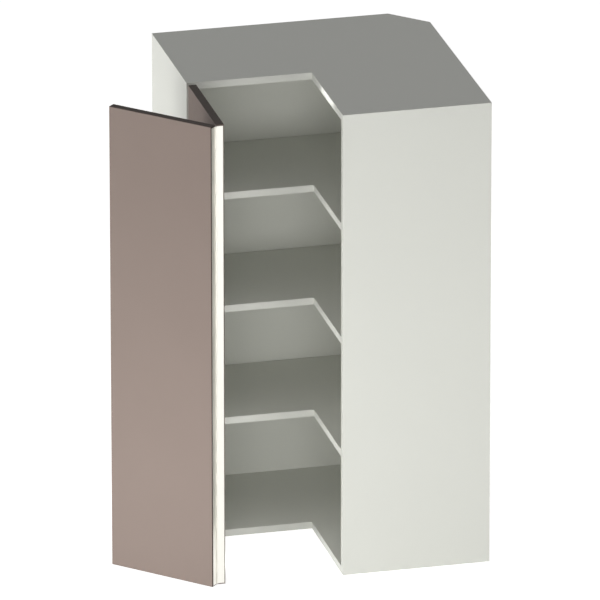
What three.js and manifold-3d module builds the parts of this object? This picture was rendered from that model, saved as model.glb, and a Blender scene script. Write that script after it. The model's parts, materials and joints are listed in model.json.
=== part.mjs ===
// Corner wall cabinet with a pair of folding doors, in millimetres, +Z up.
// The origin is the middle of the cabinet's square on its underside. +Y points to the wall behind
// the left wing and +X to the wall behind the right wing. The doors stand open, as in use.

import * as THREE from 'three';
import { mergeVertices } from 'three/addons/utils/BufferGeometryUtils.js';
import Module from 'manifold-3d';

const wasm = await Module();
wasm.setup();

// ---- Driving dimensions ----

const INCH = 25.4;
const WALL_LENGTH = 24 * INCH;
const WING_DEPTH = 13 * INCH;
const HEIGHT = 42 * INCH;
const REAR_CHAMFER = 3 * INCH;
const BOARD = (5 / 8) * INCH;
const BAY_COUNT = 4;

const SHELF_SETBACK = 6;
const SHELF_CLEARANCE = 1;

const DOOR_THICKNESS = 18;
const DOOR_GAP = 1.5;
const SIDE_REVEAL = 0.5;
const TOP_REVEAL = 2;
const BOTTOM_REVEAL = 0.3;
const DOOR_END_EASING = 0.6;
const DOOR_ARRIS_RADIUS = 0.8;

// The left door turns on a line inside its own thickness, as on a concealed hinge.
const PIVOT_INBOARD = 6.8;
const PIVOT_FORWARD = 14.3;
const OPEN_ANGLE = 90;

// The right door folds on a continuous hinge at the meeting edges of the two outer faces.
const FOLD_AXIS_OFFSET = 2.1;
const WEDGE_ANGLE = 45;

// Gap kept between pieces that touch inside the turned doors.
const GAP = 0.3;

// Flats on small round parts, and steps in a quarter round.
const CUP_SIDES = 36;
const KNUCKLE_SIDES = 12;
const PIN_SIDES = 8;
const HOLE_SIDES = 12;
const ARC_STEPS = 3;

const FOLD_KNUCKLES = 41;
const FOLD_KNUCKLE_RADIUS = 1.8;
const FOLD_BORE_RADIUS = 1.2;
const FOLD_PIN_RADIUS = 0.85;
const LEAF_THICKNESS = 1;
const LEAF_FACE_MARGIN = 2.4;
const LEAF_END_MARGIN = 3;

const CUP_RADIUS = 17.5;
const CUP_WALL = 0.9;
const CUP_DEPTH = 15.9;
const CUP_FLOOR = 0.8;
const CUP_EDGE_DISTANCE = 2.5;
const FLANGE_THICKNESS = 0.8;
const FLANGE_WIDTH = 17;
const FLANGE_OVERLAP = 2;
const FLANGE_LENGTH = 54;
const FLANGE_CORNER = 5;
const FLANGE_SCREW_SPACING = 45;
const FLANGE_SCREW_RADIUS = 1.9;
const HINGE_PIN_RADIUS = 1;
const HINGE_BORE_RADIUS = 1.35;
const HINGE_EYE_RADIUS = 2;
const HINGE_ARM_THICKNESS = 2;
const ELBOW_RADIUS = 3;
const NECK_HALF_WIDTH = 4;
const LUG_LENGTH = 3.6;
const LUG_HALF_WIDTH = 3.2;
const LUG_RISE = 3;
const HINGE_HEIGHTS = { bottom: 96, middle: 640, top: HEIGHT - 96 };

const PLATE_SETBACK = 37;
const PLATE_FRONT = 15;
const PLATE_REAR = 27;
const PLATE_CORNER = 3;
const SPINE_PLAY = 1;
const SPINE_HEIGHT = 5.5;
const WING_HALF_WIDTH = 6;
const WING_HALF_LENGTH = 24;
const WING_THICKNESS = 2;
const WING_CORNER = 5;
const WING_SCREW_RADIUS = 2.4;
const CHANNEL_HALF_WIDTH = 9.2;
const CHANNEL_WALL = 1.2;
const CHANNEL_DROP = 3;
const CHANNEL_START = 6;
const CHANNEL_END = 64;
const CHANNEL_TAPER = 4;
const SLOT_OFFSET = 16;
const SLOT_HALF_LENGTH = 5;
const SLOT_RADIUS = 2.2;
const ADJUSTER_OFFSET = 12;
const ADJUSTER_RADIUS = 2.6;

const SUPPORT_HOLE_RADIUS = 2.7;
const SUPPORT_HOLE_DEPTH = 9;
const SUPPORT_PIN_RADIUS = 2.4;
const SUPPORT_PIN_LENGTH = 8;
const SUPPORT_LEDGE = 8;
const SUPPORT_WIDTH = 11;
const SUPPORT_LEDGE_THICKNESS = 1.6;
const SUPPORT_DROP = 4.4;
const SUPPORT_COLLAR = 2;
const SUPPORT_WEB_HALF = 1;
const SUPPORT_INSET = 60;
const HOLE_PITCH = 32;

// ---- Places worked out from them ----

const LEFT = -WALL_LENGTH / 2;
const RIGHT = WALL_LENGTH / 2;
const FRONT = -WALL_LENGTH / 2;
const REAR = WALL_LENGTH / 2;
const NOTCH_X = RIGHT - WING_DEPTH;
const NOTCH_Y = REAR - WING_DEPTH;
const WING_OPENING = WALL_LENGTH - WING_DEPTH;

const BAY_HEIGHT = (HEIGHT - (BAY_COUNT + 1) * BOARD) / BAY_COUNT;
const BAY_PITCH = BAY_HEIGHT + BOARD;
const SHELF_NAMES = ['lower_shelf', 'middle_shelf', 'upper_shelf'];

const MITRE_RUN = BOARD * Math.tan(Math.PI / 8);

const DOOR_WIDTH = WING_OPENING - DOOR_GAP - DOOR_THICKNESS - FOLD_AXIS_OFFSET - SIDE_REVEAL;
const DOOR_BOTTOM = BOTTOM_REVEAL;
const DOOR_TOP = HEIGHT - TOP_REVEAL;

// The left door's own frame, with the door shut: origin on its pivot, X along it, Y to its back.
const DOOR_HINGE_END = SIDE_REVEAL - PIVOT_INBOARD;
const DOOR_FREE_END = DOOR_HINGE_END + DOOR_WIDTH;
const DOOR_OUTER = PIVOT_FORWARD - DOOR_GAP - DOOR_THICKNESS;
const DOOR_INNER = PIVOT_FORWARD - DOOR_GAP;
const FOLD_AXIS_X = DOOR_FREE_END + FOLD_AXIS_OFFSET;
const CUP_X = DOOR_HINGE_END + CUP_EDGE_DISTANCE + CUP_RADIUS;

// The arm reaches from the pivot to the top of the mounting plate's spine.
const HINGE_ARM_REACH = BOARD + SPINE_HEIGHT - PIVOT_INBOARD;

// ---- Finishes ----

const finish = (color, roughness, metalness = 0) => {
  return new THREE.MeshStandardMaterial({ color, roughness, metalness, flatShading: true });
};
const CARCASS = finish('#dcddd5', 0.55);
const DOOR = finish('#9a8c85', 0.35);
const BRIGHT_METAL = finish('#f4f4f1', 0.15, 1);
const STEEL = finish('#b9bab8', 0.3, 1);
const CAST_METAL = finish('#9fa1a0', 0.45, 1);

// ---- Shape helpers ----

function outline(points) {
  return new THREE.Shape(points.map(([x, y]) => new THREE.Vector2(x, y)));
}

function rectangle(x0, y0, x1, y1) {
  return outline([[x0, y0], [x1, y0], [x1, y1], [x0, y1]]);
}

function roundedRectangle(x0, y0, x1, y1, radius) {
  const shape = new THREE.Shape();
  shape.absarc(x1 - radius, y0 + radius, radius, -Math.PI / 2, 0);
  shape.absarc(x1 - radius, y1 - radius, radius, 0, Math.PI / 2);
  shape.absarc(x0 + radius, y1 - radius, radius, Math.PI / 2, Math.PI);
  shape.absarc(x0 + radius, y0 + radius, radius, Math.PI, Math.PI * 1.5);
  shape.closePath();
  return shape;
}

function circle(x, y, radius) {
  const steps = Array.from({ length: HOLE_SIDES }, (_, step) => (step * 2 * Math.PI) / HOLE_SIDES);
  return outline(steps.map((angle) => [x + radius * Math.cos(angle), y + radius * Math.sin(angle)]));
}

// Extrudes between two exact heights, so that boards share a face without a gap.
function prism(shape, z0, z1) {
  const settings = { depth: 1, bevelEnabled: false, curveSegments: ARC_STEPS };
  const geometry = new THREE.ExtrudeGeometry(shape, settings);
  const position = geometry.attributes.position;
  for (let i = 0; i < position.count; i += 1) {
    position.setZ(i, position.getZ(i) === 0 ? z0 : z1);
  }
  return geometry;
}

// A prism whose outline lies in X and Z, between two places along Y.
function prismY(shape, y0, y1) {
  return prism(shape, -y1, -y0).rotateX(Math.PI / 2);
}

// A prism whose outline lies in Y and Z, between two places along X.
const Z_TO_X = new THREE.Matrix4().set(0, 0, 1, 0, 1, 0, 0, 0, 0, 1, 0, 0, 0, 0, 0, 1);
function prismX(shape, x0, x1) {
  return prism(shape, x0, x1).applyMatrix4(Z_TO_X);
}

function block(x0, x1, y0, y1, z0, z1) {
  return prism(rectangle(x0, y0, x1, y1), z0, z1);
}

function upright(x, y, radius, z0, z1, sides) {
  const geometry = new THREE.CylinderGeometry(radius, radius, z1 - z0, sides);
  return geometry.rotateX(Math.PI / 2).translate(x, y, (z0 + z1) / 2);
}

// A round bar along X.
function rod(radius, x0, x1, sides) {
  const geometry = new THREE.CylinderGeometry(radius, radius, x1 - x0, sides);
  return geometry.rotateZ(Math.PI / 2).translate((x0 + x1) / 2, 0, 0);
}

function toSolid(geometry) {
  const bare = geometry.clone();
  bare.deleteAttribute('normal');
  bare.deleteAttribute('uv');
  const merged = mergeVertices(bare, 1e-4);
  const vertProperties = Float32Array.from(merged.attributes.position.array);
  const triVerts = Uint32Array.from(merged.index.array);
  return new wasm.Manifold(new wasm.Mesh({ numProp: 3, vertProperties, triVerts }));
}

function toGeometry(solid) {
  const { vertProperties, triVerts } = solid.getMesh();
  const geometry = new THREE.BufferGeometry();
  geometry.setAttribute('position', new THREE.BufferAttribute(vertProperties, 3));
  geometry.setIndex(new THREE.BufferAttribute(triVerts, 1));
  geometry.computeVertexNormals();
  return geometry;
}

function join(...geometries) {
  return toGeometry(geometries.map(toSolid).reduce((whole, solid) => whole.add(solid)));
}

function cut(geometry, ...tools) {
  return toGeometry(tools.map(toSolid).reduce((rest, tool) => rest.subtract(tool), toSolid(geometry)));
}

function common(geometry, other) {
  return toGeometry(toSolid(geometry).intersect(toSolid(other)));
}

function piece(name, geometry, material) {
  const mesh = new THREE.Mesh(geometry, material);
  mesh.name = name;
  return mesh;
}

// ---- Carcass boards ----

// The L of the cabinet seen from above, with its rear corner cut off.
function cabinetOutline({ left, front, right, rear, notchX, notchY, chamfer }) {
  return outline([
    [left, notchY],
    [notchX, notchY],
    [notchX, front],
    [right, front],
    [right, rear - chamfer],
    [right - chamfer, rear],
    [left, rear],
  ]);
}

function deckBoard(name, z0) {
  const shape = cabinetOutline({
    left: LEFT + BOARD,
    front: FRONT + BOARD,
    right: RIGHT,
    rear: REAR,
    notchX: NOTCH_X,
    notchY: NOTCH_Y,
    chamfer: REAR_CHAMFER,
  });
  return piece(name, prism(shape, z0, z0 + BOARD), CARCASS);
}

function shelfTop(level) {
  return BOARD + (level + 1) * BAY_PITCH;
}

function shelfBoard(level) {
  const inset = BOARD + SHELF_CLEARANCE;
  const shape = cabinetOutline({
    left: LEFT + inset,
    front: FRONT + inset,
    right: RIGHT - inset,
    rear: REAR - inset,
    notchX: NOTCH_X + SHELF_SETBACK,
    notchY: NOTCH_Y + SHELF_SETBACK,
    chamfer: REAR_CHAMFER - inset * (2 - Math.SQRT2),
  });
  const top = shelfTop(level);
  return piece(SHELF_NAMES[level], prism(shape, top - BOARD, top), CARCASS);
}

// The three back boards stand between the decks and meet in mitres at the cut-off corner.
function backBoards() {
  const leftOuter = [RIGHT - REAR_CHAMFER, REAR];
  const leftInner = [RIGHT - REAR_CHAMFER - MITRE_RUN, REAR - BOARD];
  const rightOuter = [RIGHT, REAR - REAR_CHAMFER];
  const rightInner = [RIGHT - BOARD, REAR - REAR_CHAMFER - MITRE_RUN];
  const leftBack = outline([[LEFT + BOARD, REAR - BOARD], leftInner, leftOuter, [LEFT + BOARD, REAR]]);
  const cornerBack = outline([leftInner, rightInner, rightOuter, leftOuter]);
  const sideInner = [RIGHT - BOARD, FRONT + BOARD];
  const sideOuter = [RIGHT, FRONT + BOARD];
  const rightBack = outline([sideInner, sideOuter, rightOuter, rightInner]);
  const stand = (shape) => prism(shape, BOARD, HEIGHT - BOARD);
  return { left: stand(leftBack), corner: stand(cornerBack), right: stand(rightBack) };
}

// ---- Shelf supports ----

// Where each support enters its board: the board it is in, its place, and its turn about Z.
// At turn 0 a support points along +X from the board's face.
const SUPPORT_SITES = [
  { board: 'leftSide', x: LEFT + BOARD, y: NOTCH_Y + SUPPORT_INSET, turn: 0 },
  { board: 'leftSide', x: LEFT + BOARD, y: REAR - BOARD - SUPPORT_INSET, turn: 0 },
  { board: 'rightSide', x: NOTCH_X + SUPPORT_INSET, y: FRONT + BOARD, turn: 90 },
  { board: 'rightSide', x: RIGHT - BOARD - SUPPORT_INSET, y: FRONT + BOARD, turn: 90 },
  { board: 'leftBack', x: SUPPORT_INSET, y: REAR - BOARD, turn: -90 },
  { board: 'rightBack', x: RIGHT - BOARD, y: SUPPORT_INSET, turn: 180 },
];

function supportAxisHeight(level) {
  return shelfTop(level) - BOARD - SUPPORT_DROP;
}

function atSite(geometry, site, z) {
  return geometry.rotateZ(THREE.MathUtils.degToRad(site.turn)).translate(site.x, site.y, z);
}

function supportHole(site, z) {
  return atSite(rod(SUPPORT_HOLE_RADIUS, -SUPPORT_HOLE_DEPTH, SUPPORT_HOLE_DEPTH, PIN_SIDES), site, z);
}

// A side board has spare holes above and below each shelf. A back board has only those in use.
function supportHoles(board, steps) {
  const sites = SUPPORT_SITES.filter((site) => site.board === board);
  const levels = SHELF_NAMES.map((name, level) => supportAxisHeight(level));
  return sites.flatMap((site) => {
    return levels.flatMap((z) => steps.map((step) => supportHole(site, z + step * HOLE_PITCH)));
  });
}

// A spoon-shaped support: a pin in the hole, a collar, and a ledge on a web under the shelf.
function supportGeometry() {
  const pin = rod(SUPPORT_PIN_RADIUS, -SUPPORT_PIN_LENGTH, SUPPORT_COLLAR, PIN_SIDES);
  const collar = rod(SUPPORT_DROP, 0, SUPPORT_COLLAR, KNUCKLE_SIDES);
  const half = SUPPORT_WIDTH / 2;
  const ledgeBottom = SUPPORT_DROP - SUPPORT_LEDGE_THICKNESS;
  const ledge = block(0, SUPPORT_LEDGE, -half, half, ledgeBottom, SUPPORT_DROP);
  const middle = SUPPORT_DROP - SUPPORT_LEDGE_THICKNESS / 2;
  const web = outline([
    [0, -SUPPORT_PIN_RADIUS],
    [SUPPORT_COLLAR, -SUPPORT_PIN_RADIUS],
    [SUPPORT_LEDGE, middle],
    [0, middle],
  ]);
  return join(pin, collar, ledge, prismY(web, -SUPPORT_WEB_HALF, SUPPORT_WEB_HALF));
}

function shelfSupports(level) {
  return SUPPORT_SITES.map((site, index) => {
    const name = `${SHELF_NAMES[level]}_support_${index + 1}`;
    return piece(name, atSite(supportGeometry(), site, supportAxisHeight(level)), STEEL);
  });
}

// ---- Doors ----

// A slab door whose edges are eased all round.
function doorSlab(x0, x1, y0, y1) {
  const shape = roundedRectangle(x0, y0, x1, y1, DOOR_ARRIS_RADIUS);
  const geometry = new THREE.ExtrudeGeometry(shape, {
    depth: DOOR_TOP - DOOR_BOTTOM - 2 * DOOR_END_EASING,
    curveSegments: ARC_STEPS,
    bevelThickness: DOOR_END_EASING,
    bevelSize: DOOR_END_EASING,
    bevelOffset: -DOOR_END_EASING,
    bevelSegments: 2,
  });
  return geometry.translate(0, 0, DOOR_BOTTOM + DOOR_END_EASING);
}

function cupBore(z) {
  const depth = CUP_DEPTH + GAP;
  const radius = CUP_RADIUS + GAP;
  const bore = new THREE.CylinderGeometry(radius, radius, depth * 2, CUP_SIDES);
  return bore.translate(CUP_X, DOOR_INNER, z);
}

function leftDoor() {
  const slab = doorSlab(DOOR_HINGE_END, DOOR_FREE_END, DOOR_OUTER, DOOR_INNER);
  const bores = Object.values(HINGE_HEIGHTS).map(cupBore);
  return piece('left_door', cut(slab, ...bores), DOOR);
}

// In its own frame, shut: origin on the fold axis, reaching along -Y, its outer face at X 0.
function rightDoor() {
  const nearEnd = -FOLD_AXIS_OFFSET;
  return piece('right_door', doorSlab(0, DOOR_THICKNESS, nearEnd - DOOR_WIDTH, nearEnd), DOOR);
}

// ---- Continuous fold hinge ----

const LEAF_BOTTOM = DOOR_BOTTOM + LEAF_END_MARGIN;
const LEAF_TOP = DOOR_TOP - LEAF_END_MARGIN;
const KNUCKLE_PITCH = (LEAF_TOP - LEAF_BOTTOM) / FOLD_KNUCKLES;

function knuckleRange(index) {
  const z0 = LEAF_BOTTOM + index * KNUCKLE_PITCH;
  return [z0 + GAP / 2, z0 + KNUCKLE_PITCH - GAP / 2];
}

// One leaf, lying in the plane across the fold axis: its plate reaches along +X at the distance
// that seats it on the door's end, and every other knuckle is rolled round the axis.
function foldLeaf(firstKnuckle, side) {
  const seat = side * (FOLD_AXIS_OFFSET - GAP);
  const face = side * (FOLD_AXIS_OFFSET - GAP - LEAF_THICKNESS);
  const [y0, y1] = [Math.min(seat, face), Math.max(seat, face)];
  const plateStart = FOLD_KNUCKLE_RADIUS + GAP;
  const parts = [block(plateStart, DOOR_THICKNESS - LEAF_FACE_MARGIN, y0, y1, LEAF_BOTTOM, LEAF_TOP)];
  for (let index = firstKnuckle; index < FOLD_KNUCKLES; index += 2) {
    const [z0, z1] = knuckleRange(index);
    parts.push(upright(0, 0, FOLD_KNUCKLE_RADIUS, z0, z1, KNUCKLE_SIDES));
    parts.push(block(0, plateStart + GAP, y0, y1, z0, z1));
  }
  const bore = upright(0, 0, FOLD_BORE_RADIUS, 0, HEIGHT, PIN_SIDES);
  return cut(join(...parts), bore);
}

function foldHingeLeft() {
  const leaf = foldLeaf(0, 1).rotateZ(Math.PI / 2);
  return piece('fold_hinge_left_leaf', leaf.translate(FOLD_AXIS_X, DOOR_OUTER, 0), BRIGHT_METAL);
}

function foldHingeRight() {
  return piece('fold_hinge_right_leaf', foldLeaf(1, -1), BRIGHT_METAL);
}

function foldHingePin() {
  const pin = upright(FOLD_AXIS_X, DOOR_OUTER, FOLD_PIN_RADIUS, LEAF_BOTTOM, LEAF_TOP, PIN_SIDES);
  return piece('fold_hinge_pin', pin, STEEL);
}

// ---- Concealed hinges ----

const FLANGE_BOTTOM = DOOR_INNER + GAP;
const FLANGE_TOP = FLANGE_BOTTOM + FLANGE_THICKNESS;
const FLANGE_START = CUP_X - FLANGE_OVERLAP;

function cupShell() {
  const outerFloor = DOOR_INNER - CUP_DEPTH;
  const innerFloor = outerFloor + CUP_FLOOR;
  const inner = CUP_RADIUS - CUP_WALL;
  const profile = [
    [0, outerFloor],
    [CUP_RADIUS, outerFloor],
    [CUP_RADIUS, FLANGE_TOP],
    [inner, FLANGE_TOP],
    [inner, innerFloor],
    [0, innerFloor],
  ];
  const points = profile.map(([radius, y]) => new THREE.Vector2(radius, y));
  return new THREE.LatheGeometry(points, CUP_SIDES).translate(CUP_X, 0, 0);
}

function cupFlange() {
  const half = FLANGE_LENGTH / 2;
  const screwX = FLANGE_START + FLANGE_WIDTH / 2;
  const shape = roundedRectangle(FLANGE_START, -half, FLANGE_START + FLANGE_WIDTH, half, FLANGE_CORNER);
  const screwZ = FLANGE_SCREW_SPACING / 2;
  shape.holes.push(...[-screwZ, screwZ].map((z) => circle(screwX, z, FLANGE_SCREW_RADIUS)));
  const radius = CUP_RADIUS - CUP_WALL;
  const mouth = new THREE.CylinderGeometry(radius, radius, CUP_DEPTH, CUP_SIDES);
  return cut(prismY(shape, FLANGE_BOTTOM, FLANGE_TOP), mouth.translate(CUP_X, FLANGE_TOP, 0));
}

// Two lugs in the cup hold the pin on both sides of the arm.
function cupLugs() {
  const radius = CUP_RADIUS - GAP;
  const inside = new THREE.CylinderGeometry(radius, radius, CUP_DEPTH * 2, CUP_SIDES);
  inside.translate(CUP_X, DOOR_INNER, 0);
  const floor = DOOR_INNER - CUP_DEPTH + CUP_FLOOR / 2;
  return [-1, 1].map((side) => {
    const near = side * (NECK_HALF_WIDTH + 2 * GAP);
    const far = near + side * LUG_LENGTH;
    const [z0, z1] = [Math.min(near, far), Math.max(near, far)];
    return common(block(-LUG_HALF_WIDTH, LUG_HALF_WIDTH, floor, LUG_RISE, z0, z1), inside);
  });
}

function hingeCup(z) {
  const [trimStart, trimTop] = [CUP_X - 2 * CUP_RADIUS, FLANGE_TOP + GAP];
  const rimTrim = block(trimStart, FLANGE_START, DOOR_INNER, trimTop, -CUP_RADIUS, CUP_RADIUS);
  const shell = cut(cupShell(), rimTrim);
  const pinHole = upright(0, 0, HINGE_BORE_RADIUS, -CUP_RADIUS, CUP_RADIUS, PIN_SIDES);
  return cut(join(shell, cupFlange(), ...cupLugs()), pinHole).translate(0, 0, z);
}

function hingePin(z) {
  const half = NECK_HALF_WIDTH + 2 * GAP + LUG_LENGTH;
  return upright(0, 0, HINGE_PIN_RADIUS, z - half, z + half, PIN_SIDES);
}

// The crank of the arm, in the pivot's frame: out of the eye, then round towards the cabinet.
function armCrank(length) {
  const half = HINGE_ARM_THICKNESS / 2;
  const inner = HINGE_ARM_REACH;
  const outer = HINGE_ARM_REACH + HINGE_ARM_THICKNESS;
  const shape = new THREE.Shape();
  const innerRadius = ELBOW_RADIUS - HINGE_ARM_THICKNESS;
  const centreX = outer - ELBOW_RADIUS;
  const centreY = ELBOW_RADIUS - half;
  shape.moveTo(0, -half);
  shape.absarc(centreX, centreY, ELBOW_RADIUS, -Math.PI / 2, 0);
  shape.lineTo(outer, length);
  shape.lineTo(inner, length);
  shape.absarc(centreX, centreY, innerRadius, 0, -Math.PI / 2, true);
  shape.lineTo(0, half);
  shape.closePath();
  return prism(shape, -NECK_HALF_WIDTH, NECK_HALF_WIDTH);
}

// The arm runs from the pivot over the mounting plate as an open channel.
function hingeArm(z) {
  const start = PIVOT_FORWARD + CHANNEL_START;
  const end = PIVOT_FORWARD + CHANNEL_END;
  const inner = HINGE_ARM_REACH;
  const outer = inner + HINGE_ARM_THICKNESS;
  const half = CHANNEL_HALF_WIDTH;
  const web = outline([
    [start - CHANNEL_TAPER, -NECK_HALF_WIDTH],
    [start + CHANNEL_TAPER, -half],
    [end, -half],
    [end, half],
    [start + CHANNEL_TAPER, half],
    [start - CHANNEL_TAPER, NECK_HALF_WIDTH],
  ]);
  const slot = PIVOT_FORWARD + PLATE_SETBACK + SLOT_OFFSET;
  const [slotStart, slotEnd] = [slot - SLOT_HALF_LENGTH, slot + SLOT_HALF_LENGTH];
  web.holes.push(roundedRectangle(slotStart, -SLOT_RADIUS, slotEnd, SLOT_RADIUS, SLOT_RADIUS));
  web.holes.push(circle(PIVOT_FORWARD + PLATE_SETBACK - ADJUSTER_OFFSET, 0, ADJUSTER_RADIUS));
  const flanges = [-half, half - CHANNEL_WALL].map((z0) => {
    return block(inner - CHANNEL_DROP, outer - GAP, start + CHANNEL_TAPER, end, z0, z0 + CHANNEL_WALL);
  });
  const eye = upright(0, 0, HINGE_EYE_RADIUS, -NECK_HALF_WIDTH, NECK_HALF_WIDTH, KNUCKLE_SIDES);
  const bore = upright(0, 0, HINGE_BORE_RADIUS, -CUP_RADIUS, CUP_RADIUS, PIN_SIDES);
  const whole = join(eye, armCrank(start), prismX(web, inner, outer), ...flanges);
  return cut(whole, bore).translate(LEFT + PIVOT_INBOARD, NOTCH_Y - PIVOT_FORWARD, z);
}

// The mounting plate is screwed to the side board through its two wings.
function hingePlate(z) {
  const face = LEFT + BOARD;
  const middle = NOTCH_Y + PLATE_SETBACK;
  const spineHalf = CHANNEL_HALF_WIDTH - CHANNEL_WALL - SPINE_PLAY;
  const [front, rear] = [middle - PLATE_FRONT, middle + PLATE_REAR];
  const spine = roundedRectangle(front, -spineHalf, rear, spineHalf, PLATE_CORNER);
  const [wingFront, wingRear] = [middle - WING_HALF_WIDTH, middle + WING_HALF_WIDTH];
  const wings = roundedRectangle(wingFront, -WING_HALF_LENGTH, wingRear, WING_HALF_LENGTH, WING_CORNER);
  const screwZ = HOLE_PITCH / 2;
  wings.holes.push(...[-screwZ, screwZ].map((height) => circle(middle, height, WING_SCREW_RADIUS)));
  const wingPlate = prismX(wings, face, face + WING_THICKNESS);
  return join(prismX(spine, face, face + SPINE_HEIGHT), wingPlate).translate(0, 0, z);
}

// ---- The whole cabinet ----

const cabinet = new THREE.Group();

const leftSide = block(LEFT, LEFT + BOARD, NOTCH_Y, REAR, 0, HEIGHT);
const rightSide = block(NOTCH_X, RIGHT, FRONT, FRONT + BOARD, 0, HEIGHT);
const SPARE_STEPS = [-1, 0, 1];
const USED_STEP = [0];
const backs = backBoards();

cabinet.add(
  piece('left_side_panel', cut(leftSide, ...supportHoles('leftSide', SPARE_STEPS)), CARCASS),
  piece('right_side_panel', cut(rightSide, ...supportHoles('rightSide', SPARE_STEPS)), CARCASS),
  piece('left_back_panel', cut(backs.left, ...supportHoles('leftBack', USED_STEP)), CARCASS),
  piece('right_back_panel', cut(backs.right, ...supportHoles('rightBack', USED_STEP)), CARCASS),
  piece('corner_back_panel', backs.corner, CARCASS),
  deckBoard('bottom_panel', 0),
  deckBoard('top_panel', HEIGHT - BOARD),
);

SHELF_NAMES.forEach((name, level) => {
  cabinet.add(shelfBoard(level), ...shelfSupports(level));
});

const leftDoorGroup = new THREE.Group();
leftDoorGroup.position.set(LEFT + PIVOT_INBOARD, NOTCH_Y - PIVOT_FORWARD, 0);
leftDoorGroup.rotation.z = -THREE.MathUtils.degToRad(OPEN_ANGLE);
leftDoorGroup.add(leftDoor(), foldHingeLeft(), foldHingePin());

for (const [place, z] of Object.entries(HINGE_HEIGHTS)) {
  cabinet.add(piece(`${place}_hinge_arm`, hingeArm(z), STEEL));
  cabinet.add(piece(`${place}_hinge_plate`, hingePlate(z), CAST_METAL));
  leftDoorGroup.add(piece(`${place}_hinge_cup`, hingeCup(z), STEEL));
  leftDoorGroup.add(piece(`${place}_hinge_pin`, hingePin(z), STEEL));
}

const rightDoorGroup = new THREE.Group();
rightDoorGroup.position.set(FOLD_AXIS_X, DOOR_OUTER, 0);
rightDoorGroup.rotation.z = THREE.MathUtils.degToRad(WEDGE_ANGLE - 90);
rightDoorGroup.add(rightDoor(), foldHingeRight());

leftDoorGroup.add(rightDoorGroup);
cabinet.add(leftDoorGroup);

export default cabinet;
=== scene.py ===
# %% [markdown]
# # A corner wall cabinet, dressed
#
# The cabinet's boards, doors and hinges arrive as a finished model in metres. This lesson gives
# them their finishes, adds the small parts that a joiner would see up close, and lights and
# frames the result. Nothing here moves or resizes a board.

# %% Load the fixed model
import json
import math

import bpy
from mathutils import Matrix, Vector


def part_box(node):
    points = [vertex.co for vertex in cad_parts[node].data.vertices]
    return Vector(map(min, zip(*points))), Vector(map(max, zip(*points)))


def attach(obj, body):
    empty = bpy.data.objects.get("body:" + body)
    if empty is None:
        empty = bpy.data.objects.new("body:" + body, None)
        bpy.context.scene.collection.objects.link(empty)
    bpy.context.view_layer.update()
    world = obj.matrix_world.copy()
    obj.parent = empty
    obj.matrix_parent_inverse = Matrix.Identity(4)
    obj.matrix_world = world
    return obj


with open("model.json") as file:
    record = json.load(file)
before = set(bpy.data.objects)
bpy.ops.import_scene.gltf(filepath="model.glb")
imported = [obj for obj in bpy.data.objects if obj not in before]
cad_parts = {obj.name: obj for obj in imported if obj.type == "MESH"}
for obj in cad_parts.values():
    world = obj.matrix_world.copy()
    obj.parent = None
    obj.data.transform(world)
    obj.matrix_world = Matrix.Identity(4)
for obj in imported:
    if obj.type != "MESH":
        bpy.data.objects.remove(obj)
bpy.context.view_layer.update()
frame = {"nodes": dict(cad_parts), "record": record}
nodes = frame["nodes"]

# %% [markdown] ## Measures  The small parts take their places from the boards that are already
# there. The numbers could be copied from the model's drawing, but read from the boards themselves
# they stay right when a board changes.

# %% Read the boards
side_low, side_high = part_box("left_side_panel")
end_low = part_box("right_side_panel")[0]
BOARD = side_high.x - side_low.x
HEIGHT = side_high.z
LEFT, NOTCH_Y = side_low.x, side_low.y
NOTCH_X, FRONT = end_low.x, end_low.y
MM = 0.001
print(f"board {BOARD / MM:.1f} mm, height {HEIGHT / MM:.1f} mm, notch at {NOTCH_X / MM:.1f} mm")

# %% [markdown]
# ## The camera
#
# A long lens far away keeps upright edges nearly parallel, as in a catalogue picture. A short lens
# close by would make the near door loom over the rest. The camera is described as a person would:
# how far round the cabinet it stands, how high, how far away, and the point it aims at. A tiny roll
# levels the picture.

# %% Place the camera
CAMERA_AZIMUTH = math.radians(-13.84)
CAMERA_ELEVATION = math.radians(20.98)
CAMERA_ROLL = math.radians(-0.043)
CAMERA_DISTANCE = 26.1
CAMERA_LENS = 710.7
AIM_ACROSS = -0.0447
AIM_UP = 0.4917


def camera_axes(azimuth, elevation):
    back = Vector((
        math.sin(azimuth) * math.cos(elevation),
        -math.cos(azimuth) * math.cos(elevation),
        math.sin(elevation),
    ))
    right = Vector((math.cos(azimuth), math.sin(azimuth), 0))
    return right, back.cross(right), back


def add_camera():
    right, up, back = camera_axes(CAMERA_AZIMUTH, CAMERA_ELEVATION)
    data = bpy.data.cameras.new("camera")
    data.lens = CAMERA_LENS
    data.sensor_width = 36
    data.clip_start = 1
    data.clip_end = 200
    camera = bpy.data.objects.new("camera", data)
    turn = Matrix((right, up, back)).transposed() @ Matrix.Rotation(CAMERA_ROLL, 3, "Z")
    camera.matrix_world = turn.to_4x4()
    camera.location = right * AIM_ACROSS + up * AIM_UP + back * CAMERA_DISTANCE
    bpy.context.scene.collection.objects.link(camera)
    bpy.context.scene.camera = camera
    return camera


print("camera at", tuple(round(v, 2) for v in add_camera().location))

# %% [markdown]
# ## Shader maths as plain arithmetic
#
# A node tree for a material is a formula. It could be wired node by node, but the formula would be
# lost among the wires. `Flow` wraps one output socket instead, so that `a * 0.5 + b` adds the Math
# nodes by itself.

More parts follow.
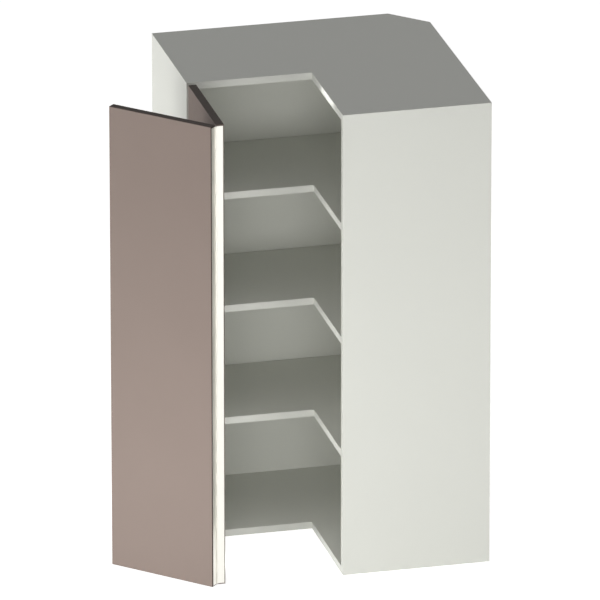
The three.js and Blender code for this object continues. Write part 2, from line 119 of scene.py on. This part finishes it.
# %% One value in a formula
class Flow:
    """One value that flows through a material."""

    def __init__(self, finish, socket):
        self.finish = finish
        self.socket = socket

    def maths(self, operation, *values, clamp=False):
        sockets = dict(enumerate(values))
        return self.finish.node("Math", {"operation": operation, "use_clamp": clamp}, sockets)

    def __add__(self, other):
        return self.maths("ADD", self, other)

    def __radd__(self, other):
        return self.maths("ADD", other, self)

    def __sub__(self, other):
        return self.maths("SUBTRACT", self, other)

    def __rsub__(self, other):
        return self.maths("SUBTRACT", other, self)

    def __mul__(self, other):
        return self.maths("MULTIPLY", self, other)

    def __rmul__(self, other):
        return self.maths("MULTIPLY", other, self)

    def clamped(self):
        return self.maths("ADD", self, 0, clamp=True)

    def least(self, other):
        return self.maths("MINIMUM", self, other)


print("a value can be", ", ".join(name for name in vars(Flow) if not name.startswith("_")))

# %% [markdown]
# `Finish` is the material around those values. Its `node` method makes any node in one line: the
# kind, its settings, and the numbers or values that go into its sockets. The methods below it are
# the few mixes that every finish in this lesson shares.

# %% A material
class Finish:
    """A material under construction."""

    def __init__(self, name=None, tree=None):
        if tree is None:
            self.material = bpy.data.materials.new(name)
            self.material.use_nodes = True
            tree = self.material.node_tree
        self.tree = tree
        self.tree.nodes.clear()

    def node(self, kind, settings=None, sockets=None, output=0):
        made = self.tree.nodes.new("ShaderNode" + kind)
        for name, value in (settings or {}).items():
            setattr(made, name, value)
        for name, value in (sockets or {}).items():
            self.feed(self.find(made.inputs, name), value)
        return Flow(self, self.find(made.outputs, output))

    @staticmethod
    def find(sockets, name):
        """A socket by its place in the list, its name or its identifier."""
        if isinstance(name, int) or name in sockets:
            return sockets[name]
        return next(socket for socket in sockets if socket.identifier == name)

    def feed(self, socket, value):
        if isinstance(value, Flow):
            self.tree.links.new(value.socket, socket)
        else:
            socket.default_value = value

    def place(self):
        return self.node("TexCoord", output="Object")

    def noise(self, size, detail=2, squeeze=(1, 1, 1)):
        """A random level from 0 to 1, in spots about as large as the size."""
        where = self.node("Mapping", sockets={"Vector": self.place(), "Scale": squeeze})
        sockets = {"Vector": where, "Scale": 1 / size, "Detail": detail}
        return self.node("TexNoise", sockets=sockets, output="Fac")

    def between(self, factor, low, high):
        """A number that runs from low to high as factor runs from 0 to 1."""
        sockets = {"Value": factor, "To Min": low, "To Max": high}
        return self.node("MapRange", {"clamp": True}, sockets)

    def mix(self, factor, first, second):
        """A colour between two colours."""
        settings = {"data_type": "RGBA"}
        sockets = {"Factor_Float": factor, "A_Color": first, "B_Color": second}
        return self.node("Mix", settings, sockets, output="Result_Color")

    def bump(self, height, depth, strength):
        sockets = {"Height": height, "Distance": depth, "Strength": strength}
        return self.node("Bump", sockets=sockets, output="Normal")

    def finished(self, **sockets):
        """Ends the material in one surface shader. Underscores in names stand for spaces."""
        named = {name.replace("_", " "): value for name, value in sockets.items()}
        surface = self.node("BsdfPrincipled", sockets=named)
        output = self.tree.nodes.new("ShaderNodeOutputMaterial")
        self.tree.links.new(surface.socket, output.inputs["Surface"])
        print(f"{self.material.name}: {len(self.tree.nodes)} nodes")
        return self.material


print("a finish can do", ", ".join(name for name in vars(Finish) if not name.startswith("_")))

# %% [markdown]
# A paint chart gives a colour as three levels from 0 to 255, in steps that look even to the eye.
# A shader counts light, so each level is turned into a share of full light first.

# %% Colours from a paint chart
def linear(red, green, blue):
    """A colour as a paint chart gives it, 0 to 255, in the light units that shaders use."""
    def channel(level):
        share = level / 255
        return share / 12.92 if share <= 0.04045 else ((share + 0.055) / 1.055) ** 2.4

    return (channel(red), channel(green), channel(blue), 1)


print("level 128 is", round(linear(128, 128, 128)[0], 3), "of full light")

# %% [markdown]
# ## Melamine-faced board
#
# The carcass is chipboard pressed between two sheets of warm white melamine. Up close such a
# sheet isn't flat: the press plate leaves a fine pebble, and the white drifts by a hair from
# place to place. A picture of a board would do this too, but noise has no seams and no size limit,
# and on the board's own coordinates it stays put from any side.

# %% Board finish
BOARD_WHITE = linear(221, 222, 215)
BOARD_WHITE_LOW = linear(217, 218, 211)
MELAMINE_SHINE = 0.25


def melamine():
    finish = Finish("warm_white_melamine")
    drift = finish.noise(280 * MM, detail=3)
    pebble = finish.noise(0.9 * MM, detail=1)
    speck = finish.noise(4 * MM)
    colour = finish.mix((drift * 0.7 + speck * 0.3).clamped(), BOARD_WHITE_LOW, BOARD_WHITE)
    roughness = finish.between(speck, 0.42, 0.52)
    normal = finish.bump(pebble, depth=0.04 * MM, strength=0.35)
    return finish.finished(
        Base_Color=colour,
        Roughness=roughness,
        Normal=normal,
        IOR=1.46,
        Specular_IOR_Level=MELAMINE_SHINE,
    )


MELAMINE = melamine()

# %% [markdown]
# ## Taupe lacquer
#
# The doors are sprayed fibre board. Lacquer levels into long, very shallow waves, which show as a
# soft unevenness in its sheen, with a much finer dust grain on top. The top and bottom faces and the
# ends at the fold are painted darker, as painted shade that stands in for the shade on those faces.
#
# A second material on those faces would need the mesh to be split. Instead the colour depends on
# how far a point is from those ends. Each door lies in a direction of its own, and the same formula
# serves both. The painted shade at the left door's end at the fold is only half as dark.

# %% Door finish
TAUPE = linear(137, 124, 117)
TAUPE_DEEP = linear(133, 120, 113)
# painted shade: the dark colour given to the doors' top, bottom and fold ends
PAINTED_SHADE_TAUPE = linear(70, 61, 56)
PAINTED_SHADE_REACH = 1.2 * MM
LACQUER_SHINE = 0.08
UP = Vector((0, 0, 1))
WEDGE = math.pi / 4
TOWARDS_FOLD = {
    "left_door": Vector((0, -1, 0)),
    "right_door": Vector((math.cos(WEDGE), -math.sin(WEDGE), 0)),
}
# the painted shade at the left door's fold end reaches only half as far
PAINTED_SHADE_SPARED = {"left_door": PAINTED_SHADE_REACH / 2, "right_door": 0}


def span(name, direction):
    """How far a node reaches along a direction, as its least and greatest distance."""
    node = nodes[name]
    distances = [direction.dot(node.matrix_world @ vertex.co) for vertex in node.data.vertices]
    return min(distances), max(distances)


def along(finish, direction):
    """A point's own distance along a direction."""
    sockets = {0: finish.place(), 1: direction}
    return finish.node("VectorMath", {"operation": "DOT_PRODUCT"}, sockets, output="Value")


def lacquer(door):
    finish = Finish(f"taupe_lacquer_{door}")
    cloud = finish.noise(200 * MM, detail=3)
    level = finish.noise(17 * MM)
    dust = finish.noise(1.1 * MM, detail=1)
    bottom, top = span(door, UP)
    from_bottom = along(finish, UP) - bottom
    from_top = top - along(finish, UP)
    from_fold = span(door, TOWARDS_FOLD[door])[1] - along(finish, TOWARDS_FOLD[door])
    # painted shade: 0 at the top, bottom and fold ends, rising to 1 a millimetre or so in, where the
    # lacquer colour takes over
    inward = from_bottom.least(from_top).least(from_fold + PAINTED_SHADE_SPARED[door])
    face = (inward * (1 / PAINTED_SHADE_REACH)).clamped()
    skin = finish.mix(cloud, TAUPE_DEEP, TAUPE)
    colour = finish.mix(face, PAINTED_SHADE_TAUPE, skin)
    roughness = finish.between(level, 0.52, 0.64)
    normal = finish.bump(level * 0.7 + dust * 0.3, depth=0.03 * MM, strength=0.3)
    return finish.finished(
        Base_Color=colour,
        Roughness=roughness,
        Normal=normal,
        IOR=1.5,
        Specular_IOR_Level=LACQUER_SHINE,
    )


LACQUER = {door: lacquer(door) for door in TOWARDS_FOLD}

# %% [markdown]
# ## Metals
#
# The leaves of the long fold hinge are bright polished metal. Its pin, the shelf supports, and the
# cups, arms, pins and screws of the concealed hinges are nickel-plated steel. The mounting plates
# are die-cast zinc, which is duller and keeps the grain of its mould. One flat grey would do from
# afar. Up close it is the sheen that tells metals apart, so each has a noise in its roughness and a
# fine bump. On the long hinge the bump is drawn out along its height, like the marks of drawn metal.

# %% Metal finishes
BRIGHT = linear(240, 238, 231)
NICKEL = linear(205, 203, 196)
NICKEL_DULL = linear(182, 180, 174)
ZINC = linear(176, 177, 176)
ZINC_DULL = linear(150, 151, 150)


def polished():
    finish = Finish("polished_hinge_metal")
    haze = finish.noise(25 * MM, detail=3)
    drawn = finish.noise(0.7 * MM, squeeze=(1, 1, 0.02))
    roughness = finish.between(haze, 0.26, 0.36)
    normal = finish.bump(drawn, depth=0.01 * MM, strength=0.15)
    return finish.finished(Base_Color=BRIGHT, Metallic=1.0, Roughness=roughness, Normal=normal)


def nickel():
    finish = Finish("nickel_plate")
    haze = finish.noise(11 * MM, detail=3)
    grain = finish.noise(0.7 * MM)
    colour = finish.mix(haze, NICKEL_DULL, NICKEL)
    roughness = finish.between(haze, 0.18, 0.32)
    normal = finish.bump(grain, depth=0.02 * MM, strength=0.25)
    return finish.finished(Base_Color=colour, Metallic=1.0, Roughness=roughness, Normal=normal)


def zinc():
    finish = Finish("die_cast_zinc")
    grain = finish.noise(1.4 * MM, detail=3)
    cloud = finish.noise(8 * MM)
    colour = finish.mix(cloud, ZINC_DULL, ZINC)
    roughness = finish.between(grain, 0.38, 0.55)
    normal = finish.bump(grain, depth=0.04 * MM, strength=0.4)
    return finish.finished(Base_Color=colour, Metallic=1.0, Roughness=roughness, Normal=normal)


METALS = {"bright_metal": polished(), "steel": nickel(), "cast_metal": zinc()}

# %% [markdown]
# Each node of the model names its slot: carcass, door, bright metal, steel or cast metal. One finish
# for each slot would nearly do, but each door has a lacquer of its own, so a node is looked up by
# its own name first.

# %% Give each node its finish
FINISHES = {"carcass": MELAMINE, **METALS, **LACQUER}


def dress(node, material):
    node.data.materials.clear()
    node.data.materials.append(material)


for row in frame["record"]["subparts"]:
    name = row["node"]
    dress(nodes[name], FINISHES.get(name) or FINISHES[row["material_slot"]])

# %% [markdown]
# ## Recipes for shapes that repeat
#
# A Geometry Nodes tree is a recipe: it takes bare points or edges and grows the same small shape
# on each. The shapes could be copied by hand, but a recipe is changed in one place. `Recipe` writes
# such a tree as plainly as `Finish` writes a material.

# %% A recipe
class Recipe:
    """A Geometry Nodes tree under construction, with named inputs."""

    def __init__(self, name, **inputs):
        self.tree = bpy.data.node_groups.new(name, "GeometryNodeTree")
        self.add_input("Geometry", "Geometry")
        for label, kind in inputs.items():
            self.add_input(label.replace("_", " "), kind)
        output = {"in_out": "OUTPUT", "socket_type": "NodeSocketGeometry"}
        self.tree.interface.new_socket("Geometry", **output)
        self.entry = self.tree.nodes.new("NodeGroupInput")

    def add_input(self, label, kind):
        self.tree.interface.new_socket(label, in_out="INPUT", socket_type=f"NodeSocket{kind}")

    def given(self, label):
        return self.entry.outputs[label]

    def identifier(self, label):
        return self.given(label).identifier

    def node(self, kind, settings=None, sockets=None, output=0):
        made = self.tree.nodes.new(kind)
        for name, value in (settings or {}).items():
            setattr(made, name, value)
        for name, value in (sockets or {}).items():
            for one in value if isinstance(value, list) else [value]:
                self.feed(made.inputs[name], one)
        return made.outputs[output]

    def feed(self, socket, value):
        if isinstance(value, bpy.types.NodeSocket):
            self.tree.links.new(value, socket)
        else:
            socket.default_value = value

    def serve(self, geometry):
        """Ends the recipe: real geometry in the material that it was given."""
        real = self.node("GeometryNodeRealizeInstances", sockets={"Geometry": geometry})
        sockets = {"Geometry": real, "Material": self.given("Material")}
        dressed = self.node("GeometryNodeSetMaterial", sockets=sockets)
        output = self.tree.nodes.new("NodeGroupOutput")
        self.tree.links.new(dressed, output.inputs[0])
        return self


print("a recipe can do", ", ".join(name for name in vars(Recipe) if not name.startswith("_")))

# %% [markdown]
# `grow` gives a recipe its sizes, lets Blender work it out once on the bare points and edges, and
# keeps the result as an ordinary mesh. The modifier that did the work is thrown away with its
# holder, so nothing is left that could still change.

# %% Growing a shape
def grow(recipe, name, points, edges=(), **sizes):
    """Follows a recipe on bare points and edges, and keeps the result as a plain mesh."""
    start = bpy.data.meshes.new(f"{name}_start")
    start.from_pydata(points, edges, [])
    holder = bpy.data.objects.new(f"{name}_holder", start)
    bpy.context.scene.collection.objects.link(holder)
    modifier = holder.modifiers.new("recipe", "NODES")
    modifier.node_group = recipe.tree
    for label, value in sizes.items():
        modifier[recipe.identifier(label.replace("_", " "))] = value
    ready = holder.evaluated_get(bpy.context.evaluated_depsgraph_get())
    mesh = bpy.data.meshes.new_from_object(ready)
    bpy.data.objects.remove(holder)
    piece = bpy.data.objects.new(name, mesh)
    bpy.context.scene.collection.objects.link(piece)
    return piece


print("recipes so far:", len(bpy.data.node_groups))

# %% [markdown]
# ## Screws in the concealed hinges
#
# Each hinge cup is held by two screws in its flange, each mounting plate by two in its wings, and
# each arm carries a fixing screw in its slot and a smaller adjusting screw. All of them face the
# open side of the cabinet. A head is a low cone with a cross cut in it: a Mesh Boolean takes two
# thin bars out of a cone, once, and the result is set on every point. Each head is turned at
# random, because no two screws stop at the same angle. Eighteen copied screws would look the same,
# but a change of size would then mean eighteen edits.

# %% Screw recipe
HEAD_SIDES = 24


def screw_recipe():
    recipe = Recipe(
        "cross_head_screws",
        Head_Radius="Float",
        Crown_Radius="Float",
        Head_Height="Float",
        Cut_Place="Vector",
        Cut_Size="Vector",
        Cut_Size_Turned="Vector",
        Seed="Int",
        Material="Material",
    )
    given = recipe.given
    cone_sizes = {
        "Vertices": HEAD_SIDES,
        "Radius Bottom": given("Head Radius"),
        "Radius Top": given("Crown Radius"),
        "Depth": given("Head Height"),
    }
    cone = recipe.node("GeometryNodeMeshCone", sockets=cone_sizes)
    bars = []
    for size in ("Cut Size", "Cut Size Turned"):
        bar = recipe.node("GeometryNodeMeshCube", sockets={"Size": given(size)})
        placed = {"Geometry": bar, "Translation": given("Cut Place")}
        bars.append(recipe.node("GeometryNodeTransform", sockets=placed))
    parts = {"Mesh 1": cone, "Mesh 2": bars}
    head = recipe.node("GeometryNodeMeshBoolean", {"operation": "DIFFERENCE"}, parts)
    sites = {"Points": given("Geometry"), "Instance": head, "Rotation": (0, math.pi / 2, 0)}
    heads = recipe.node("GeometryNodeInstanceOnPoints", sockets=sites)
    angles = {"Min": (0, 0, 0), "Max": (0, 0, math.pi / 2), "Seed": given("Seed")}
    angle = recipe.node("FunctionNodeRandomValue", {"data_type": "FLOAT_VECTOR"}, angles)
    turning = {"Instances": heads, "Rotation": angle}
    return recipe.serve(recipe.node("GeometryNodeRotateInstances", sockets=turning))


CROSS_HEADS = screw_recipe()
print("screw recipe:", len(CROSS_HEADS.tree.nodes), "nodes")

# %% [markdown]
# The places come from the hinges themselves. A cup's flange screws stand a little towards the free
# end of the door from the middle of its cup, a plate's in the middle of its wings, and an arm's
# over the spine of its plate.

# %% Screw places
HINGES = ("bottom", "middle", "top")
FLANGE_SCREW_ASIDE = 6.5 * MM
FLANGE_SCREW_SPREAD = 22.5 * MM
WING_SCREW_INWARD = 15 * MM
WING_SCREW_SPREAD = 16 * MM
WING_THICKNESS = 2 * MM
FIXING_SCREW_INWARD = 53 * MM
ADJUSTER_INWARD = 25 * MM


def middle(name):
    low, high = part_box(name)
    return (low + high) / 2


def flange_points():
    for hinge in HINGES:
        cup = f"{hinge}_hinge_cup"
        centre = middle(cup)
        for side in (-1, 1):
            height = centre.z + side * FLANGE_SCREW_SPREAD
            yield (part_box(cup)[1].x, centre.y - FLANGE_SCREW_ASIDE, height)


def wing_points():
    for hinge in HINGES:
        low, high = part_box(f"{hinge}_hinge_plate")
        for side in (-1, 1):
            height = (low.z + high.z) / 2 + side * WING_SCREW_SPREAD
            yield (low.x + WING_THICKNESS, low.y + WING_SCREW_INWARD, height)


def arm_points(inward):
    for hinge in HINGES:
        arm = f"{hinge}_hinge_arm"
        yield (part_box(arm)[1].x, NOTCH_Y + inward, middle(arm).z)


print("flange screws at heights", [round(height, 3) for x, y, height in flange_points()])

# %% [markdown]
# A screw's cross and crown are shares of its head's radius. The four kinds differ only in size: the
# flat heads of the cups must let the door shut, and the fixing screw of an arm is the stoutest.

# %% Grow the screws
CUT_LENGTH = 1.1
CUT_WIDTH = 0.22
CROWN = 0.72


def add_screws(name, body, points, radius, height, seed):
    length, width = radius * CUT_LENGTH, radius * CUT_WIDTH
    screws = grow(
        CROSS_HEADS,
        name,
        list(points),
        Head_Radius=radius,
        Crown_Radius=radius * CROWN,
        Head_Height=height,
        Cut_Place=(0, 0, height),
        Cut_Size=(length, width, height),
        Cut_Size_Turned=(width, length, height),
        Seed=seed,
        Material=METALS["steel"],
    )
    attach(screws, body)
    print(name, len(screws.data.polygons), "faces")


flanges = flange_points()
add_screws("cup_flange_screws", "hung_door", flanges, radius=3.6 * MM, height=0.4 * MM, seed=1)
wings = wing_points()
add_screws("plate_wing_screws", "cabinet", wings, radius=3.8 * MM, height=1.4 * MM, seed=2)
fixings = arm_points(FIXING_SCREW_INWARD)
add_screws("arm_fixing_screws", "cabinet", fixings, radius=4.2 * MM, height=1.6 * MM, seed=3)
adjusters = arm_points(ADJUSTER_INWARD)
add_screws("arm_adjusting_screws", "cabinet", adjusters, radius=2.4 * MM, height=0.6 * MM, seed=4)

# %% [markdown]
# ## Edge bands
#
# The melamine covers only the broad faces of a board. The raw chipboard at the front is closed
# with a strip of plastic band, glued on and rounded over with a cutter. A thin box would do as a
# band, but its sharp edges would catch no light. So the band is a sweep: the recipe draws a rounded
# rectangle and carries it along each bare edge. Two bands meet in a butt joint in the inner corner
# of the notch, as an edge banding machine leaves them.

# %% Band finish
BAND_WHITE = linear(214, 215, 208)


def band():
    finish = Finish("edge_band")
    drawn = finish.noise(2.4 * MM, squeeze=(1, 1, 0.05))
    colour = finish.mix(finish.noise(11 * MM), BAND_WHITE, BOARD_WHITE_LOW)
    roughness = finish.between(drawn, 0.38, 0.48)
    normal = finish.bump(drawn, depth=0.02 * MM, strength=0.3)
    return finish.finished(
        Base_Color=colour,
        Roughness=roughness,
        Normal=normal,
        Specular_IOR_Level=MELAMINE_SHINE,
    )


BAND_FINISH = band()

# %% Band recipe
CORNER_STEPS = 3


def band_recipe():
    recipe = Recipe(
        "edge_bands",
        Thickness="Float",
        Height="Float",
        Corner="Float",
        Material="Material",
    )
    given = recipe.given
    sides = {"Width": given("Thickness"), "Height": given("Height")}
    section = recipe.node("GeometryNodeCurvePrimitiveQuadrilateral", sockets=sides)
    rounding = {"Curve": section, "Radius": given("Corner"), "Count": CORNER_STEPS}
    rounded = recipe.node("GeometryNodeFilletCurve", {"mode": "POLY"}, rounding)
    rails = recipe.node("GeometryNodeMeshToCurve", sockets={"Mesh": given("Geometry")})
    sweep = {"Curve": rails, "Profile Curve": rounded, "Fill Caps": True}
    return recipe.serve(recipe.node("GeometryNodeCurveToMesh", sockets=sweep))


BANDS = band_recipe()
print("band recipe:", len(BANDS.tree.nodes), "nodes")

# %% [markdown]
# A deck or a shelf has two bare edges, one along each arm of its L, and they are read from the
# board itself: they meet in the corner point that lies nearest the notch. The side boards have one
# upright edge each. A band stands a hair proud of its board.

# %% Band places
BAND_THICKNESS = 0.4 * MM
BAND_PROUD = 0.3 * MM
BAND_SHY = 0.1 * MM
BAND_MIDDLE = BAND_PROUD - BAND_THICKNESS / 2


def notch_corner(name):
    """The corner of an L-shaped board that lies nearest the corner of the notch."""
    points = (vertex.co for vertex in nodes[name].data.vertices)
    return min(points, key=lambda point: math.hypot(point.x - NOTCH_X, point.y - NOTCH_Y))


def level_rails(name):
    low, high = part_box(name)
    corner = notch_corner(name)
    height = (low.z + high.z) / 2
    along_front = corner.y - BAND_MIDDLE
    along_side = corner.x - BAND_MIDDLE
    yield (low.x, along_front, height), (corner.x, along_front, height)
    yield (along_side, corner.y - BAND_PROUD, height), (along_side, low.y, height)


def upright_rail(x, y):
    yield (x, y, BAND_SHY), (x, y, HEIGHT - BAND_SHY)


print("inner corner of the top board:", [round(value, 3) for value in notch_corner("top_panel")])

# %% Grow the bands
SHELVES = ("lower_shelf", "middle_shelf", "upper_shelf")
BAND_HEIGHT = BOARD - BAND_SHY
BAND_CORNER = 0.15 * MM


def add_bands(name, rails, thickness, height):
    ends = [point for rail in rails for point in rail]
    edges = [(first, first + 1) for first in range(0, len(ends), 2)]
    bands = grow(
        BANDS,
        name,
        ends,
        edges,
        Thickness=thickness,
        Height=height,
        Corner=BAND_CORNER,
        Material=BAND_FINISH,
    )
    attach(bands, "cabinet")
    print(name, len(bands.data.polygons), "faces")


for board in ("bottom_panel", "top_panel", *SHELVES):
    add_bands(f"{board}_bands", level_rails(board), BAND_THICKNESS, BAND_HEIGHT)
left_rail = upright_rail(LEFT + BOARD / 2, NOTCH_Y - BAND_MIDDLE)
right_rail = upright_rail(NOTCH_X - BAND_MIDDLE, FRONT + BOARD / 2)
add_bands("left_side_band", left_rail, BAND_HEIGHT, BAND_THICKNESS)
add_bands("right_side_band", right_rail, BAND_THICKNESS, BAND_HEIGHT)

# %% [markdown]
# ## Floor, background and light
#
# The picture has no room: the floor and everything behind it are white. A white wall would end
# somewhere and show its corners, so the world itself is white. The floor and the world are white to
# the camera and to shiny surfaces, and dimmer as sources of light, so that the shape still shows.
# Light that rises from the floor fills the undersides of the shelves.

# %% White surround
WORLD_LIGHT = 0.28
FLOOR_LIGHT = 0.04
FLOOR_SEEN = 0.78
FLOOR_WHITE = linear(232, 232, 230)
FLOOR_WHITE_LOW = linear(228, 228, 226)
FLOOR_SIZE = 60
FLOOR_DROP = 0.0005


def seen_directly(finish):
    """1 for a ray from the eye or from a mirror-like surface, and 0 for a ray of plain light."""
    kinds = ("Camera", "Glossy", "Transmission")
    camera, glossy, through = (finish.node("LightPath", output=f"Is {kind} Ray") for kind in kinds)
    return (camera + glossy + through).clamped()


def grey(level):
    return (level, level, level, 1)


def set_world():
    world = bpy.data.worlds.new("white_surround")
    world.use_nodes = True
    bpy.context.scene.world = world
    finish = Finish(tree=world.node_tree)
    strength = finish.between(seen_directly(finish), WORLD_LIGHT, 1.0)
    background = finish.node("Background", sockets={"Color": grey(1), "Strength": strength})
    output = finish.tree.nodes.new("ShaderNodeOutputWorld")
    finish.tree.links.new(background.socket, output.inputs["Surface"])


def floor_finish():
    finish = Finish("white_floor")
    glow = finish.mix(seen_directly(finish), grey(FLOOR_LIGHT), grey(FLOOR_SEEN))
    colour = finish.mix(finish.noise(33 * MM), FLOOR_WHITE_LOW, FLOOR_WHITE)
    return finish.finished(
        Base_Color=colour,
        Roughness=0.9,
        Emission_Color=glow,
        Emission_Strength=1,
    )


def add_floor():
    mesh = bpy.data.meshes.new("floor")
    half = FLOOR_SIZE / 2
    corners = [(-half, -half), (half, -half), (half, half), (-half, half)]
    mesh.from_pydata([(x, y, -FLOOR_DROP) for x, y in corners], [], [(0, 1, 2, 3)])
    floor = bpy.data.objects.new("floor", mesh)
    bpy.context.scene.collection.objects.link(floor)
    mesh.materials.append(floor_finish())
    return floor


set_world()
print("stage:", add_floor().name)

# %% [markdown]
# Soft lamps do the rest. The front lamp stands level with the middle of the cabinet, beside the
# camera, so its light reaches the backs of all four bays and only grazes the shelves. The corner
# lamp stands between the front and the left, and the side lamp to the left and a little behind.
# Two small lamps near the floor lift the feet of the folded door and of the right side board. One
# big lamp could do, but it would leave either the bays or the doors too dark. No lamp shows to the
# camera or in the metal.

# %% Lamps
CABINET_MIDDLE = (-0.05, -0.05, 0.5)
SIDE_MIDDLE = (0, -0.05, 0.6)
DOOR_FOOT = (-0.39, -0.2, 0.1)
SIDE_FOOT = (0.15, -0.3, 0.05)
ROUND_LAMPS = {
    "front_lamp": dict(place=(-0.97, -3.88, 0.5), aim=CABINET_MIDDLE, width=1.6, power=46.5),
    "corner_lamp": dict(place=(-3.06, -2.57, 0.5), aim=CABINET_MIDDLE, width=1.6, power=48),
    "side_lamp": dict(place=(-2.35, 0.86, 0.7), aim=SIDE_MIDDLE, width=1.0, power=20),
    "door_foot_lamp": dict(place=(-0.96, -0.77, 0.06), aim=DOOR_FOOT, width=0.3, power=3.8),
    "side_foot_lamp": dict(place=(0.8, -1.6, 0.1), aim=SIDE_FOOT, width=0.4, power=3.7),
}


def add_lamp(name, place, aim, width, power, height=None):
    data = bpy.data.lights.new(name, "AREA")
    data.shape = "RECTANGLE" if height else "DISK"
    data.size = width
    data.size_y = height or width
    data.energy = power
    lamp = bpy.data.objects.new(name, data)
    lamp.location = place
    lamp.rotation_euler = (Vector(aim) - Vector(place)).to_track_quat("-Z", "Y").to_euler()
    lamp.visible_camera = False
    lamp.visible_glossy = False
    bpy.context.scene.collection.objects.link(lamp)


for lamp_name, lamp in ROUND_LAMPS.items():
    add_lamp(lamp_name, **lamp)
print("round lamps:", ", ".join(ROUND_LAMPS))

# %% [markdown]
# The left door keeps two things in shade: the shelf edges across the notch, and the narrow gap at
# its own hinge end. In the picture both are light. A stronger lamp outside would burn out the doors
# long before it reached them, so tall narrow lamps stand right beside them, two in the notch and one
# in the gap. A tiny one puts a glint on the edge of the top. The gap's and the glint's lamps stand
# where a door's own thickness hides them once the doors are shut.

# %% Strip lamps
NOTCH_MIDDLE = (FRONT + NOTCH_Y) / 2
BESIDE_DOOR = LEFT + 20 * MM
BEHIND_DOOR = NOTCH_Y - 7 * MM
GAP_MIDDLE = LEFT + 12 * MM
LOW_MIDDLE = 220 * MM
BESIDE_EDGE = NOTCH_X - 10 * MM
EDGE_MIDDLE = HEIGHT - BOARD / 2
TO_THE_RIGHT = Vector((1, 0, 0))
TO_THE_REAR = Vector((0, 1, 0))


def add_strip_lamp(name, place, towards, **sizes):
    add_lamp(name, place, Vector(place) + towards, **sizes)


notch = (BESIDE_DOOR, NOTCH_MIDDLE, HEIGHT / 2)
add_strip_lamp("notch_lamp", notch, TO_THE_RIGHT, width=0.03, height=1.03, power=0.63)
low_notch = (BESIDE_DOOR, NOTCH_MIDDLE, LOW_MIDDLE)
add_strip_lamp("low_notch_lamp", low_notch, TO_THE_RIGHT, width=0.03, height=0.42, power=0.13)
gap = (GAP_MIDDLE, BEHIND_DOOR, HEIGHT / 2)
add_strip_lamp("gap_lamp", gap, TO_THE_REAR, width=0.022, height=1.05, power=0.032)
top_edge = (BESIDE_EDGE, NOTCH_MIDDLE, EDGE_MIDDLE)
add_strip_lamp("glint_lamp", top_edge, TO_THE_RIGHT, width=0.11, height=0.008, power=0.0078)
print("lamps in all:", len(bpy.data.lights))

# %% [markdown]
# ## Look
#
# The Standard view keeps a written colour as it is. A filmic view would turn the whites grey.

# %% Finish
scene = bpy.context.scene
scene.view_settings.view_transform = "Standard"
